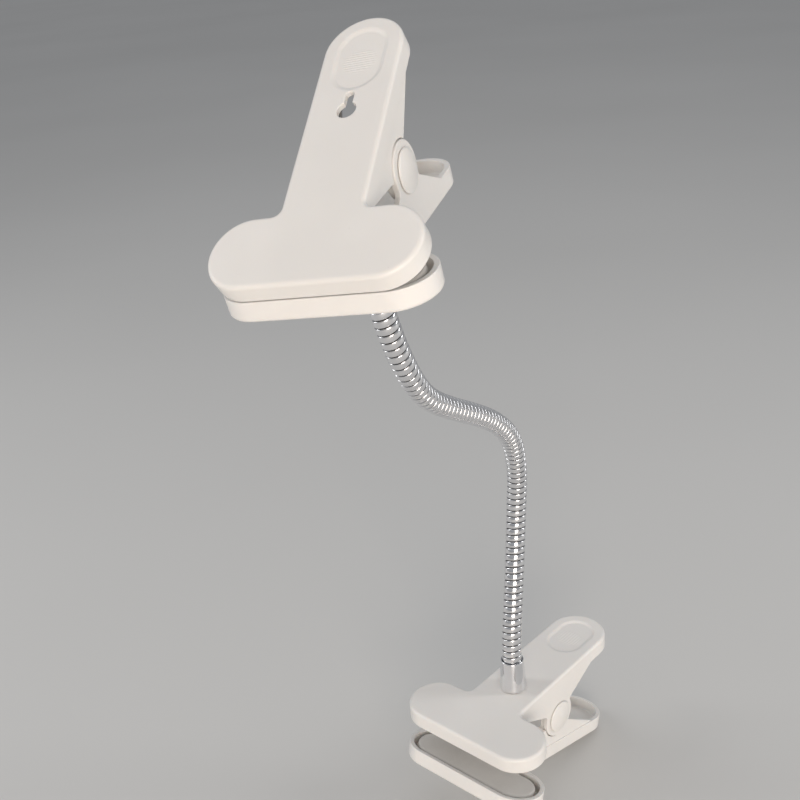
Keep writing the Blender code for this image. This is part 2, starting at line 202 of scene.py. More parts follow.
def loft(mesh, loops):
    """Skin a list of loops of points, and return the first and last loops of vertices."""
    rings = [[mesh.verts.new(point) for point in loop] for loop in loops]
    for low, high in zip(rings, rings[1:]):
        bridge(mesh, low, high)
    return rings[0], rings[-1]


def loop_edges(mesh, ring):
    """The edges round a ring of vertices, made where they are missing."""
    edges = []
    for i, vert in enumerate(ring):
        other = ring[(i + 1) % len(ring)]
        edges.append(mesh.edges.get((vert, other)) or mesh.edges.new((vert, other)))
    return edges


def fill(mesh, rings, up):
    """Close the flat region between an outer ring and the holes in it."""
    edges = [edge for ring in rings for edge in loop_edges(mesh, ring)]
    bmesh.ops.triangle_fill(mesh, use_beauty=True, use_dissolve=False, edges=edges,
                            normal=(0, 0, up))


def revolved(profile, sides, closed=False):
    """A solid of revolution about Z from (radius, z) points."""
    mesh = bmesh.new()
    rings = []
    for radius, z in profile:
        if radius < 1e-6:
            rings.append([mesh.verts.new((0, 0, z))])
            continue
        turns = [2 * pi * i / sides for i in range(sides)]
        rings.append([mesh.verts.new((radius * cos(turn), radius * sin(turn), z)) for turn in turns])
    pairs = list(zip(rings, rings[1:]))
    if closed:
        pairs.append((rings[-1], rings[0]))
    for low, high in pairs:
        for i in range(sides):
            j = (i + 1) % sides
            corners = [low[i % len(low)], low[j % len(low)], high[j % len(high)], high[i % len(high)]]
            mesh.faces.new(list(dict.fromkeys(corners)))
    return mesh


def round_corner(centre, radius, start, end, steps=5):
    """Profile points (radius, z) round a corner."""
    return [(centre[0] + radius * cos(radians(start + (end - start) * i / steps)),
             centre[1] + radius * sin(radians(start + (end - start) * i / steps)))
            for i in range(steps + 1)]


def combined(data, tool, operation):
    """Join or cut one mesh with another."""
    holder = bpy.data.objects.new("holder", data)
    cutter = bpy.data.objects.new("cutter", tool)
    for thing in (holder, cutter):
        bpy.context.scene.collection.objects.link(thing)
    modifier = holder.modifiers.new(operation, "BOOLEAN")
    modifier.operation = operation
    modifier.solver = "EXACT"
    modifier.object = cutter
    graph = bpy.context.evaluated_depsgraph_get()
    shape = bpy.data.meshes.new_from_object(holder.evaluated_get(graph))
    for thing in (holder, cutter):
        bpy.data.objects.remove(thing, do_unlink=True)
    return shape


# ---------------------------------------------------------------- jaws

def corner_fillet(before, corner, after, radius, steps):
    """Round a hollow corner of a path that has its material on the left."""
    incoming = (corner - before).normalized()
    outgoing = (after - corner).normalized()
    turn = acos(max(-1, min(1, incoming.dot(outgoing))))
    start = corner - incoming * radius * sin(turn / 2) / cos(turn / 2)
    centre = start + Vector((incoming.y, -incoming.x)) * radius
    stations = []
    for i in range(steps + 1):
        normal = Matrix.Rotation(-turn * i / steps, 2) @ (centre - start).normalized()
        stations.append((centre - normal * radius, normal))
    return stations


def boss_fillet(point, direction, boss, radius, side):
    """The centre and outward normal of a fillet between a slope and the boss, on one side."""
    outward = Vector((direction.y, -direction.x))
    start = point + outward * radius - Vector((PIVOT_X, -PIVOT_DROP))
    middle = start.dot(direction)
    rest = start.length_squared - (boss + radius) ** 2
    return point + outward * radius + direction * (side * sqrt(middle ** 2 - rest) - middle), outward


def degrees_of(vector):
    """A direction's angle."""
    return atan2(vector.y, vector.x) * 180 / pi


def ear_path(boss, slope, level):
    """A wall's lower edge where it swells into an ear, seen from the side: (top x, point, normal)."""
    pivot = Vector((PIVOT_X, -PIVOT_DROP))
    left_start = Vector((EDGE_START_X, level))
    left_bend = Vector(FRONT_BEND)
    left_slope = Vector(FRONT_SLOPE).normalized()
    right_end = Vector(slope[0])
    right_slope = (right_end - Vector(slope[1])).normalized()
    right_end -= right_slope * ((right_end.y - level) / right_slope.y)
    left_centre, left_out = boss_fillet(left_bend, left_slope, boss, BOSS_FILLET, -1)
    right_centre, right_out = boss_fillet(right_end, right_slope, boss, BOSS_FILLET, 1)

    front = corner_fillet(left_start - Vector((1, 0)), left_start, left_bend, START_ROUND, 3)
    front += corner_fillet(left_start, left_bend, left_bend + left_slope, BEND_ROUND, 4)
    low = degrees_of(-left_out)
    high = degrees_of(pivot - left_centre)
    while high > low:
        high -= 360
    front += hollow(arc(left_centre, BOSS_FILLET, low, high, 8))

    start = degrees_of(left_centre - pivot) % 360
    end = degrees_of(right_centre - pivot) % 360 + 360
    round_boss = arc(pivot, boss, start, end, 44)[1:-1]

    low = degrees_of(pivot - right_centre)
    high = degrees_of(-right_out)
    while high > low:
        high -= 360
    back = hollow(arc(right_centre, BOSS_FILLET, low, high, 8))
    back += corner_fillet(right_centre, right_end, right_end + Vector((1, 0)), END_ROUND, 4)

    stations = []
    front_last, boss_first, boss_last, back_first = COLUMNS_AT
    spans = ((front, front[0][0].x, front_last), (round_boss, boss_first, boss_last),
             (back, back_first, back[-1][0].x))
    for group, first, last in spans:
        lengths = [0.0]
        for before, after in zip(group, group[1:]):
            lengths.append(lengths[-1] + (after[0] - before[0]).length)
        for (point, normal), length in zip(group, lengths):
            stations.append((first + (last - first) * length / lengths[-1], point, normal))
    return stations


def side_stations(kind):
    """Stations along a handle's straight side, from the mouth's corner to the round end."""
    start, end = MOUTH_DEPTH + CORNER_FILLET, CLIP_LENGTH - HANDLE_WIDTH / 2
    down = Vector((0, -1))
    path, first, count = [], start, 24
    if kind == "socket":
        path = ear_path(BOSS_RADIUS, SOCKET_SLOPE, -SKIRT)
        first, count = path[-1][0], 6
    level = [first + (end - first) * i / count for i in range(1, count)]
    return path + [(x, Vector((x, -SKIRT)), down) for x in level]


def jaw_columns(kind):
    """Columns round the T-shaped outline: (top point, wall normal, foot point, foot normal)."""
    end_y = (MOUTH_WIDTH - MOUTH_DEPTH) / 2
    corner_x = MOUTH_DEPTH + CORNER_FILLET
    corner_y = HANDLE_WIDTH / 2 + CORNER_FILLET
    handle_x = CLIP_LENGTH - HANDLE_WIDTH / 2
    half = HANDLE_WIDTH / 2
    columns = []

    def plain(stations):
        for point, normal in stations:
            foot = Vector((point.x, point.y, -SKIRT))
            columns.append((point.to_3d(), normal.to_3d(), foot, Vector((0, 0, -1))))

    def straight(start, end, normal, steps):
        start, end = Vector(start), Vector(end)
        plain([(start.lerp(end, i / steps), Vector(normal)) for i in range(1, steps)])

    def side(sign, stations):
        for x, foot, down in stations:
            columns.append((Vector((x, sign * half, 0)), Vector((0, sign, 0)),
                            Vector((foot.x, sign * half, foot.y)), Vector((down.x, 0, down.y))))

    stations = side_stations(kind)
    plain(arc((MOUTH_DEPTH / 2, -end_y), MOUTH_DEPTH / 2, 180, 360, 40))
    straight((MOUTH_DEPTH, -end_y), (MOUTH_DEPTH, -corner_y), (1, 0), 4)
    plain(hollow(arc((corner_x, -corner_y), CORNER_FILLET, 180, 90, 8)))
    side(-1, stations)
    plain(arc((handle_x, 0), half, -90, 90, 48))
    side(1, stations[::-1])
    plain(hollow(arc((corner_x, corner_y), CORNER_FILLET, 270, 180, 8)))
    straight((MOUTH_DEPTH, corner_y), (MOUTH_DEPTH, end_y), (1, 0), 4)
    plain(arc((MOUTH_DEPTH / 2, end_y), MOUTH_DEPTH / 2, 0, 180, 40))
    straight((0, end_y), (0, -end_y), (-1, 0), 16)
    return columns


def lip_profile():
    """Across a wall's lower edge: (distance in from its outer face, distance below its foot)."""
    inner = LIP_ROUND * 0.8
    turns = [radians(b) for b in SMALL_ROUND]
    points = [(0, -LIP_ROUND - 0.25)]
    points += [(LIP_ROUND * (1 - cos(b)), LIP_ROUND * (sin(b) - 1)) for b in turns]
    points += [(WALL - inner * (1 - sin(b)), inner * (cos(b) - 1)) for b in turns]
    return points + [(WALL, -inner - 0.25)]


def jaw_shell(kind):
    """The hollow shell, open where the plate's two faces go."""
    columns = jaw_columns(kind)
    mesh = bmesh.new()
    loops = [[top - wall * (EDGE_ROUND + 0.2) for top, wall, foot, down in columns]]
    for angle in quarter(8):
        inset = EDGE_ROUND * (1 - sin(angle))
        drop = Vector((0, 0, EDGE_ROUND * (1 - cos(angle))))
        loops.append([top - wall * inset - drop for top, wall, foot, down in columns])
    drop = Vector((0, 0, EDGE_ROUND + 0.2))
    loops.append([top - drop for top, wall, foot, down in columns])
    for inward, below in lip_profile():
        loops.append([foot - wall * inward + down * below for top, wall, foot, down in columns])
    for angle in quarter(5):
        inset = WALL + INNER_FILLET * (1 - cos(angle))
        drop = Vector((0, 0, PLATE + INNER_FILLET * (1 - sin(angle))))
        loops.append([top - wall * inset - drop for top, wall, foot, down in columns])
    outside, inside = loft(mesh, loops)
    return mesh, outside, inside


def oval(radius, sides, ends):
    """The thumb recess's outline at a given end radius, as plain points."""
    near, far = RECESS_START + RECESS_RADIUS, RECESS_END - RECESS_RADIUS
    turns = [-pi / 2 + pi * i / ends for i in range(ends)]
    points = [(far + radius * cos(a), radius * sin(a)) for a in turns]
    points += [(far + (near - far) * i / sides, radius) for i in range(sides)]
    turns = [pi / 2 + pi * i / ends for i in range(ends)]
    points += [(near + radius * cos(a), radius * sin(a)) for a in turns]
    return points + [(near + (far - near) * i / sides, -radius) for i in range(sides)]


def rib_height(x, y):
    """Low ribs across the middle of the thumb recess."""
    reach = 1 - hypot((x - RIB_CENTRE) / RIB_LENGTH, y / RIB_WIDTH)
    if reach <= 0:
        return 0.0
    wave = 0.5 + 0.5 * cos(2 * pi * (x - RIB_CENTRE) / RIB_PITCH)
    return RIB_HEIGHT * min(1.0, reach * 5) * wave


def thumb_recess(mesh):
    """The recess's sloping wall and ribbed floor; returns its outer ring."""
    sides, ends = 76, 36
    loops = []
    for step in range(11):
        share = step / 10
        drop = RECESS_DEPTH * (1 - cos(pi * share)) / 2
        radius = RECESS_RADIUS + RECESS_SLOPE / 2 - RECESS_SLOPE * share
        loops.append([(x, y, -drop) for x, y in oval(radius, sides, ends)])
    radius = RECESS_RADIUS - RECESS_SLOPE / 2 - RECESS_RING
    while radius > 0.2:
        loops.append([(x, y, rib_height(x, y) - RECESS_DEPTH) for x, y in oval(radius, sides, ends)])
        radius -= RECESS_RING
    outside, inside = loft(mesh, loops)
    far_cap = inside[:ends + 1]
    near_cap = inside[sides + ends:sides + 2 * ends + 1]
    upper = inside[ends:ends + sides + 1]
    lower = (inside[sides + 2 * ends:] + inside[:1])[::-1]
    bridge(mesh, upper, lower, closed=False)
    mesh.faces.new(far_cap)
    mesh.faces.new(near_cap)
    return outside


def keyhole(mesh):
    """A round hole that runs out into a slot; returns its rings on the plate's two faces."""
    reach = sqrt(KEYHOLE_RADIUS ** 2 - KEYHOLE_SLOT_RADIUS ** 2)
    meet = degrees_of(Vector((reach, KEYHOLE_SLOT_RADIUS)))
    round_part = hollow(arc((KEYHOLE_X, 0), KEYHOLE_RADIUS, 360 - meet, meet, 44))
    slot_part = hollow(arc((KEYHOLE_SLOT_END, 0), KEYHOLE_SLOT_RADIUS, 90, -90, 20))
    stations = round_part + slot_part
    loops = [[point - normal * KEYHOLE_ROUND * (1 - sin(angle)) for point, normal in stations]
             for angle in quarter(5)]
    drops = [KEYHOLE_ROUND * (1 - cos(angle)) for angle in quarter(5)]
    loops += [loops[-1], [point - normal * 0.2 for point, normal in stations]]
    drops += [PLATE - 0.2, PLATE]
    return loft(mesh, [[(p.x, p.y, -drop) for p in loop] for loop, drop in zip(loops, drops)])


def screw_hole(mesh):
    """The round hole that the ferrule's screw goes through; returns its rings on the two faces."""
    stations = arc((FERRULE_X, 0), PIN_HOLE, 0, 360 - 360 / 48, 47)
    return loft(mesh, [[(p.x, p.y, -drop) for p, normal in stations] for drop in (0, PLATE)])


def plate_solid(stations, outer_y, side, edge):
    """A plate of an ear's thickness, upright along the handle, with rounded edges."""
    turns = [radians(b) for b in SMALL_ROUND]
    levels = [(edge * (1 - sin(b)), edge * (1 - cos(b))) for b in turns]
    levels += [(inset, EAR - depth) for inset, depth in levels[::-1]]
    mesh = bmesh.new()
    loops = [[(point.x - normal.x * inset, side * (outer_y - depth), point.y - normal.y * inset)
              for point, normal in stations] for inset, depth in levels]
    first, last = loft(mesh, loops)
    mesh.faces.new(first)
    mesh.faces.new(last)
    return finished(mesh)


def cheek_solid(outer_y, side):
    """A keyhole jaw's cheek, before it is cut clear of the other jaw's boss."""
    path = ear_path(LUG_RADIUS, KEYHOLE_SLOPE, -SKIRT + 0.4)
    back, front = CHEEK_ROOT
    stations = [(point, normal) for x, point, normal in path]
    stations += [(Vector(back), Vector((1, 1))), (Vector(front), Vector((-1, 1)))]
    return plate_solid(stations, outer_y, side, CHEEK_ROUND)


def lug_solid(outer_y, side):
    """The lug that goes inside the other jaw's ear."""
    front, back = PIVOT_X - LUG_REACH, PIVOT_X + LUG_REACH
    square = Vector((0, 0))
    stations = [(Vector((back, LUG_TOP)), square), (Vector((back, LUG_BACK)), square)]
    stations += arc((PIVOT_X, -PIVOT_DROP), LUG_RADIUS, *LUG_SWEEP, 44)
    stations += [(Vector((front, LUG_FRONT)), square), (Vector((front, LUG_TOP)), square)]
    return plate_solid(stations, outer_y, side, LUG_ROUND)


def crosswise(profile, sides):
    """A solid of revolution about the pivot, from (radius, y) points."""
    mesh = revolved([(radius, -y) for radius, y in profile], sides)
    place = Matrix.Translation(PIVOT) @ Matrix.Rotation(pi / 2, 4, "X")
    bmesh.ops.transform(mesh, matrix=place, verts=mesh.verts[:])
    return finished(mesh)


def build_jaw(kind):
    """A whole jaw: the shell with its plate, and its ears or its cheeks and lugs."""
    mesh, outside, inside = jaw_shell(kind)
    recess = thumb_recess(mesh)
    top, bottom = keyhole(mesh) if kind == "keyhole" else screw_hole(mesh)
    fill(mesh, (outside, recess, top), 1)
    fill(mesh, (inside, bottom), -1)
    jaw = finished(mesh)
    if kind == "keyhole":
        outer = HANDLE_WIDTH / 2 - CHEEK_SINK
        radius = BOSS_RADIUS + CHEEK_CLEARANCE
        for side in (-1, 1):
            low, high = side * (outer - EAR - 0.5), side * (outer + 0.5)
            clear = crosswise([(0, low), (radius, low), (radius, high), (0, high)], 96)
            cheek = combined(cheek_solid(outer, side), clear, "DIFFERENCE")
            jaw = combined(jaw, cheek, "UNION")
            jaw = combined(jaw, lug_solid(HANDLE_WIDTH / 2 - EAR - EAR_GAP, side), "UNION")
    bore = crosswise([(0, -20), (PIN_HOLE, -20), (PIN_HOLE, 20), (0, 20)], 48)
    return smoothed(combined(jaw, bore, "DIFFERENCE"))


def build_facing():
    """The moulded facing in a mouth: a bar with round ends, a rounded edge and a slight crown."""
    half_length = MOUTH_WIDTH / 2 - WALL - FACING_GROOVE
    radius = MOUTH_DEPTH / 2 - WALL - FACING_GROOVE
    middle = MOUTH_DEPTH / 2

    def ring(inset, z, crown):
        offset = half_length - radius
        stations = arc((middle, -offset), radius - inset, 180, 360, 32)
        stations += arc((middle, offset), radius - inset, 0, 180, 32)
        return [(p.x, p.y, z - crown * (1 - (abs(p.x - middle) / radius) ** 2))
                for p, normal in stations]

    grip_z = FACING_SINK - SKIRT
    mesh = bmesh.new()
    loops = [ring(0.3, -PLATE - 0.3, 0), ring(0, -PLATE - 0.6, 0), ring(0, grip_z + 1.2, 0)]
    for angle in quarter(6):
        inset, rise = FACING_ROUND * (1 - cos(angle)), FACING_ROUND * (1 - sin(angle))
        loops.append(ring(inset, grip_z + rise, FACING_CROWN * sin(angle) ** 4))
    for inset in (1.5, 2.5, 3.5, 4.5, 5.5, 6.5, 7.5, 8.3, 8.8):
        loops.append(ring(inset, grip_z, FACING_CROWN))
    first, last = loft(mesh, loops)
    mesh.faces.new(first)
    mesh.faces.new(last)
    return finished(mesh)


def build_cap():
    """A shallow dome with a stem, standing on Z."""
    face = HANDLE_WIDTH / 2 + 0.25
    stem = PIN_BORE - 0.25
    profile = [(0, face - 5), (stem - 0.25, face - 5), (stem, face - 4.7), (stem, face)]
    profile += round_corner((CAP_RADIUS - 0.2, face + 0.2), 0.2, -90, 0, 4)
    rim = 0.62
    dome = (CAP_RADIUS ** 2 + (CAP_HEIGHT - rim) ** 2) / (2 * (CAP_HEIGHT - rim))
    blend_at = CAP_RADIUS - 0.55
    height = face + CAP_HEIGHT - (dome - sqrt(dome ** 2 - blend_at ** 2))
    profile += round_corner((blend_at, height - 0.56), 0.55, 0, 78, 7)
    for i in range(1, 13):
        radius = blend_at * (1 - i / 12)
        profile.append((radius, face + CAP_HEIGHT - (dome - sqrt(dome ** 2 - radius ** 2))))
    return finished(revolved(profile, 72))


def build_pin():
    """The tube that the jaws turn on, standing on Z."""
    half = HANDLE_WIDTH / 2
    profile = [(PIN_BORE, -half + 0.2), (PIN_BORE + 0.2, -half),
               (PIN_RADIUS - 0.2, -half), (PIN_RADIUS, -half + 0.2)]
    profile += [(radius, -z) for radius, z in profile[::-1]]
    return finished(revolved(profile, 48, closed=True), 50)


def build_ferrule():
    """The polished cup that holds the neck: a cone with a rolled rim."""
    bore = NECK_RADIUS + 0.25
    floor = FERRULE_LENGTH - NECK_IN_FERRULE - 0.3
    slope = (FERRULE_BASE - FERRULE_TOP) / (FERRULE_LENGTH - 1.7)
    profile = [(PIN_HOLE, 0.3), (PIN_HOLE + 0.1, 0.25)]
    profile += round_corner((FERRULE_BASE - 0.3, 0.55), 0.3, -90, 0, 5)
    profile.append((FERRULE_BASE, 1.2))
    profile += [(FERRULE_BASE - slope * (z - 1.2), z) for z in (1.5, 3, 6, 9, 12, 14.4)]
    middle = (FERRULE_TOP + bore) / 2
    thick = (FERRULE_TOP - bore) / 2 + 0.05
    profile += [(middle + thick * cos(radians(a)), FERRULE_LENGTH - thick + thick * sin(radians(a)))
                for a in range(-40, 181, 20)]
    profile += [(bore, FERRULE_LENGTH - 1.0), (bore, floor), (PIN_HOLE, floor)]
    return finished(revolved(profile, 96, closed=True))


def build_washer():
    """The washer under the plate, with its corners broken."""
    top = -PLATE - 0.25
    low = top - 0.8
    profile = [(PIN_HOLE, low + 0.1), (PIN_HOLE + 0.1, low),
               (WASHER_RADIUS - 0.25, low), (WASHER_RADIUS, low + 0.25),
               (WASHER_RADIUS, top - 0.15), (WASHER_RADIUS - 0.15, top),
               (PIN_HOLE + 0.1, top), (PIN_HOLE, top - 0.1)]
    return finished(revolved(profile, 64, closed=True), 50)


def build_screw():
    """A pan-head screw with a grooved shank and a cross recess, standing on Z."""
    head = -PLATE - 1.3
    tip = FERRULE_LENGTH - NECK_IN_FERRULE - 0.9
    profile = [(0, head - 2.2), (1.4, head - 2.15)]
    profile += [(SCREW_HEAD - 1.5 + 1.5 * sin(radians(a)), head - 0.7 - 1.4 * cos(radians(a)))
                for a in range(10, 91, 10)]
    profile += [(SCREW_HEAD, head - 0.15), (SCREW_HEAD - 0.15, head), (SCREW_RADIUS, head)]
    z = head + 0.4
    while z < tip - 1.0:
        profile += [(SCREW_RADIUS, z), (SCREW_RADIUS - 0.28, z + 0.3)]
        z += 0.6
    profile += [(SCREW_RADIUS, tip - 0.6), (SCREW_RADIUS - 0.6, tip), (0, tip)]
    screw = finished(revolved(profile, 48))
    for turn in (0, pi / 2):
        mesh = bmesh.new()
        bit = [[(x * s, y * s, z) for x, y in ((-1.9, -0.36), (1.9, -0.36), (1.9, 0.36), (-1.9, 0.36))]
               for s, z in ((1.1, head - 3.0), (0.55, head - 0.9))]
        first, last = loft(mesh, bit)
        mesh.faces.new(first)
        mesh.faces.new(last)
        bmesh.ops.transform(mesh, matrix=Matrix.Rotation(turn, 4, "Z"), verts=mesh.verts[:])
        screw = combined(screw, finished(mesh), "DIFFERENCE")
    return smoothed(screw)


def tube(points, radius, sides=14):
    """A round wire through points, with rounded ends."""
    mesh = bmesh.new()
    loops = []
    tangents = []
    for i in range(len(points)):
        before, after = points[max(i - 1, 0)], points[min(i + 1, len(points) - 1)]
        tangents.append((after - before).normalized())
    normal = tangents[0].orthogonal().normalized()
    for i, (point, tangent) in enumerate(zip(points, tangents)):
        normal = (normal - tangent * normal.dot(tangent)).normalized()
        side = tangent.cross(normal)
        sizes = [(1.0, 0.0)]
        if i == 0:
            sizes = [(0.3, -0.55), (0.7, -0.4), (0.94, -0.18), (1.0, 0.0)]
        if i == len(points) - 1:
            sizes = [(1.0, 0.0), (0.94, 0.18), (0.7, 0.4), (0.3, 0.55)]
        for size, shift in sizes:
            centre = point + tangent * shift * radius
            turns = [2 * pi * j / sides for j in range(sides)]
            loops.append([centre + (normal * cos(turn) + side * sin(turn)) * radius * size
                          for turn in turns])
    first, last = loft(mesh, loops)
    mesh.faces.new(first)
    mesh.faces.new(last)
    return finished(mesh, 60)


def build_spring(angle):
    """The coil round the pin with a leg against each handle, about the pivot, and its half length."""
    foot = Vector((FOOT_X - PIVOT_X, PIVOT_DROP - PLATE - WIRE_RADIUS - 0.3))
    reach = foot.length
    upper = atan2(foot.y, foot.x)
    lower = -upper - radians(angle)
    leave = acos(COIL_RADIUS / reach)
    first = lower - leave
    sweep = first - (upper + leave) + 2 * pi * (TURNS + 1)
    half = TURNS * PITCH / 2
    steps = int(sweep / radians(9))
    points = [Vector((reach * cos(lower), -half, reach * sin(lower)))]
    for i in range(steps + 1):
        turn = first - sweep * i / steps
        points.append(Vector((COIL_RADIUS * cos(turn), half * (2 * i / steps - 1), COIL_RADIUS * sin(turn))))
    points.append(Vector((reach * cos(upper), half, reach * sin(upper))))
    return tube(points, WIRE_RADIUS), half


# ---------------------------------------------------------------- neck

class Centreline:
    """The neck's smooth middle line, with a frame that doesn't twist, by distance in millimetres."""

    STEP = 0.25

    def __init__(self, stops):
        self.middles = [before.lerp(after, 0.5) for before, after in zip(stops, stops[1:])]
        half = CURVE_STEPS // 2
        dense = [stops[0].lerp(self.middles[0], i / half) for i in range(half)]
        for first, corner, last in zip(self.middles, stops[1:-1], self.middles[1:]):
            for i in range(CURVE_STEPS):
                t = i / CURVE_STEPS
                dense.append(first * (1 - t) ** 2 + corner * 2 * t * (1 - t) + last * t ** 2)
        dense += [self.middles[-1].lerp(stops[-1], i / half) for i in range(half + 1)]
        walked = [0.0]
        for before, after in zip(dense, dense[1:]):
            walked.append(walked[-1] + (after - before).length)
        self.cuts = [walked[half + CURVE_STEPS * i] for i in range(len(self.middles))]
        self.length = walked[-1]
        self.points = []
        place = 0
        count = int(self.length / self.STEP)
        for i in range(count + 1):
            distance = i * self.STEP
            while place < len(walked) - 2 and walked[place + 1] < distance:
                place += 1
            share = (distance - walked[place]) / (walked[place + 1] - walked[place])
            self.points.append(dense[place].lerp(dense[place + 1], share))
        self.tangents = []
        for i in range(len(self.points)):
            before, after = self.points[max(i - 1, 0)], self.points[min(i + 1, count)]
            self.tangents.append((after - before).normalized())
        self.normals = [self.tangents[0].orthogonal().normalized()]
        for tangent in self.tangents[1:]:
            normal = self.normals[-1]
            self.normals.append((normal - tangent * normal.dot(tangent)).normalized())

    def at(self, distance):
        """The middle point, and the two directions across, at a distance along the line."""
        spot = distance / self.STEP
        low = max(0, min(len(self.points) - 2, int(spot)))
        share = spot - low
        middle = self.points[low].lerp(self.points[low + 1], share)
        tangent = self.tangents[low].lerp(self.tangents[low + 1], max(0, min(1, share))).normalized()
        normal = self.normals[low].lerp(self.normals[low + 1], max(0, min(1, share)))
        normal = (normal - tangent * normal.dot(tangent)).normalized()
        return middle, normal, tangent.cross(normal)


def band_section():
    """The outer wire's section: (distance along the neck, radius, share of painted groove shade)."""
    crown = [(-1.14, 4.37, 0), (-0.95, 4.43, 0), (-0.5, 4.485, 0), (0, 4.5, 0),
             (0.5, 4.485, 0), (0.95, 4.43, 0), (1.14, 4.37, 0)]
    right = [(1.27, 4.26, 0.15), (1.33, 4.08, 0.6), (1.2, 3.6, 1), (0.4, 2.9, 1)]
    left = [(-a, r, g) for a, r, g in right[::-1]]
    return left + crown + right


def core_section():
    """The round wire in the groove between the outer wire's turns, wholly in painted groove shade."""
    turns = [2 * pi * i / 10 for i in range(10)]
    return [(NECK_PITCH / 2 + 0.62 * sin(turn), 3.36 + 0.62 * cos(turn), 1) for turn in turns]


def wound_piece(line, start, end):
    """Both wires between two distances along the neck, with exact normals."""
    first = round(start / NECK_PITCH * NECK_SEGMENTS)
    last = round(end / NECK_PITCH * NECK_SEGMENTS)
    verts, normals, groove_shade_weights, faces = [], [], [], []
    for section in (band_section(), core_section()):
        size = len(section)
        rows = []
        for i in range(first - 1, last + 2):
            angle = 2 * pi * i / NECK_SEGMENTS
            row = []
            for along, radius, groove in section:
                middle, across, side = line.at(i * NECK_PITCH / NECK_SEGMENTS + along)
                row.append(middle + (across * cos(angle) + side * sin(angle)) * radius)
            rows.append(row)
        base = len(verts)
        for i in range(1, len(rows) - 1):
            for j in range(size):
                lengthwise = rows[i + 1][j] - rows[i - 1][j]
                around = rows[i][(j + 1) % size] - rows[i][j - 1]
                verts.append(rows[i][j])
                normals.append(lengthwise.cross(around).normalized())
                groove_shade_weights.append(section[j][2])
        count = len(rows) - 2
        for i in range(count - 1):
            for j in range(size):
                k = (j + 1) % size
                low, high = base + i * size, base + (i + 1) * size
                faces.append((low + j, high + j, high + k, low + k))
        faces.append(tuple(base + j for j in range(size)))
        faces.append(tuple(base + (count - 1) * size + j for j in range(size))[::-1])
    data = bpy.data.meshes.new("neck")
    data.from_pydata(verts, [], faces)
    # Weights of the painted shade in the grooves between the turns.
    layer = data.attributes.new("groove", "FLOAT", "POINT")
    layer.data.foreach_set("value", groove_shade_weights)
    data.polygons.foreach_set("use_smooth", [True] * len(data.polygons))
    data.validate()
    sample = data.polygons[0]
    if sample.normal.dot(normals[sample.vertices[0]]) < 0:
        data.flip_normals()
    data.normals_split_custom_set_from_vertices(normals)
    return data


# ---------------------------------------------------------------- looks

def new_look(name, colour, roughness, metallic=0.0):
    """A material with its node tree and its main shader."""
    look = bpy.data.materials.new(name)
    look.use_nodes = True
    shader = look.node_tree.nodes["Principled BSDF"]
    shader.inputs["Base Color"].default_value = (*colour, 1)
    shader.inputs["Roughness"].default_value = roughness
    shader.inputs["Metallic"].default_value = metallic
    return look, look.node_tree, shader


def node(tree, kind, settings=None, **inputs):
    """A shader node; an input, named or numbered as i0, takes a constant or another node's output."""
    made = tree.nodes.new("ShaderNode" + kind)
    for key, value in (settings or {}).items():
        setattr(made, key, value)
    for key, value in inputs.items():
        numbered = key[0] == "i" and key[1:].isdigit()
        socket = made.inputs[int(key[1:]) if numbered else key.replace("_", " ")]
        if isinstance(value, bpy.types.NodeSocket):
            tree.links.new(value, socket)
        else:
            socket.default_value = value
    return made


def noise(tree, place, scale, detail=2.0, roughness=0.5):
    return node(tree, "TexNoise", Vector=place, Scale=scale, Detail=detail, Roughness=roughness).outputs[0]


def ranged(tree, value, low, high, to_low, to_high):
    """A value carried from one range to another, and kept inside it."""
    made = node(tree, "MapRange", Value=value, From_Min=low, From_Max=high, To_Min=to_low, To_Max=to_high)
    return made.outputs[0]


def mixed(tree, share, first, second):
    """A colour between two colours."""
    made = node(tree, "Mix", {"data_type": "RGBA"}, i0=share)
    for socket, value in ((made.inputs[6], first), (made.inputs[7], second)):
        if isinstance(value, bpy.types.NodeSocket):
            tree.links.new(value, socket)
        else:
            socket.default_value = (*value, 1)
    return made.outputs[2]


def bumped(tree, height, distance, strength, under=None):
    """Fine relief, on top of other relief where there is any."""
    made = node(tree, "Bump", Height=height, Distance=distance, Strength=strength)
    if under:
        tree.links.new(under, made.inputs["Normal"])
    return made.outputs[0]


def plastic_look():
    """White moulded plastic with a faint mottle, rare specks and a fine grain."""
    look, tree, shader = new_look("white_plastic", (0.8, 0.78, 0.75), 0.4)
    place = node(tree, "TexCoord").outputs["Object"]
    tone = ranged(tree, noise(tree, place, 22, 2), 0.35, 0.65, 0, 1)
    colour = mixed(tree, tone, (0.83, 0.805, 0.77), (0.79, 0.765, 0.73))
    specks = node(tree, "TexVoronoi", Vector=place, Scale=150)
    cell = node(tree, "SeparateColor", Color=specks.outputs["Color"]).outputs[0]
    rare = ranged(tree, cell, 0.72, 0.74, 0, 1)
    dot = ranged(tree, specks.outputs["Distance"], 0.014, 0.03, 0.35, 0)
    share = node(tree, "Math", {"operation": "MULTIPLY"}, i0=rare, i1=dot).outputs[0]
    tree.links.new(mixed(tree, share, colour, (0.42, 0.37, 0.31)), shader.inputs["Base Color"])
    wear = ranged(tree, noise(tree, place, 260, 4, 0.6), 0.3, 0.7, 0.36, 0.47)
    tree.links.new(wear, shader.inputs["Roughness"])
    broad = bumped(tree, noise(tree, place, 70, 1), 0.0001, 0.25)
    fine = bumped(tree, noise(tree, place, 2600, 3, 0.6), 0.00002, 0.35, broad)
    tree.links.new(fine, shader.inputs["Normal"])
    shader.inputs["Subsurface Weight"].default_value = 0.12
    shader.inputs["Subsurface Radius"].default_value = (1.0, 0.75, 0.55)
    shader.inputs["Subsurface Scale"].default_value = 0.0015
    shader.inputs["IOR"].default_value = 1.5
    return look


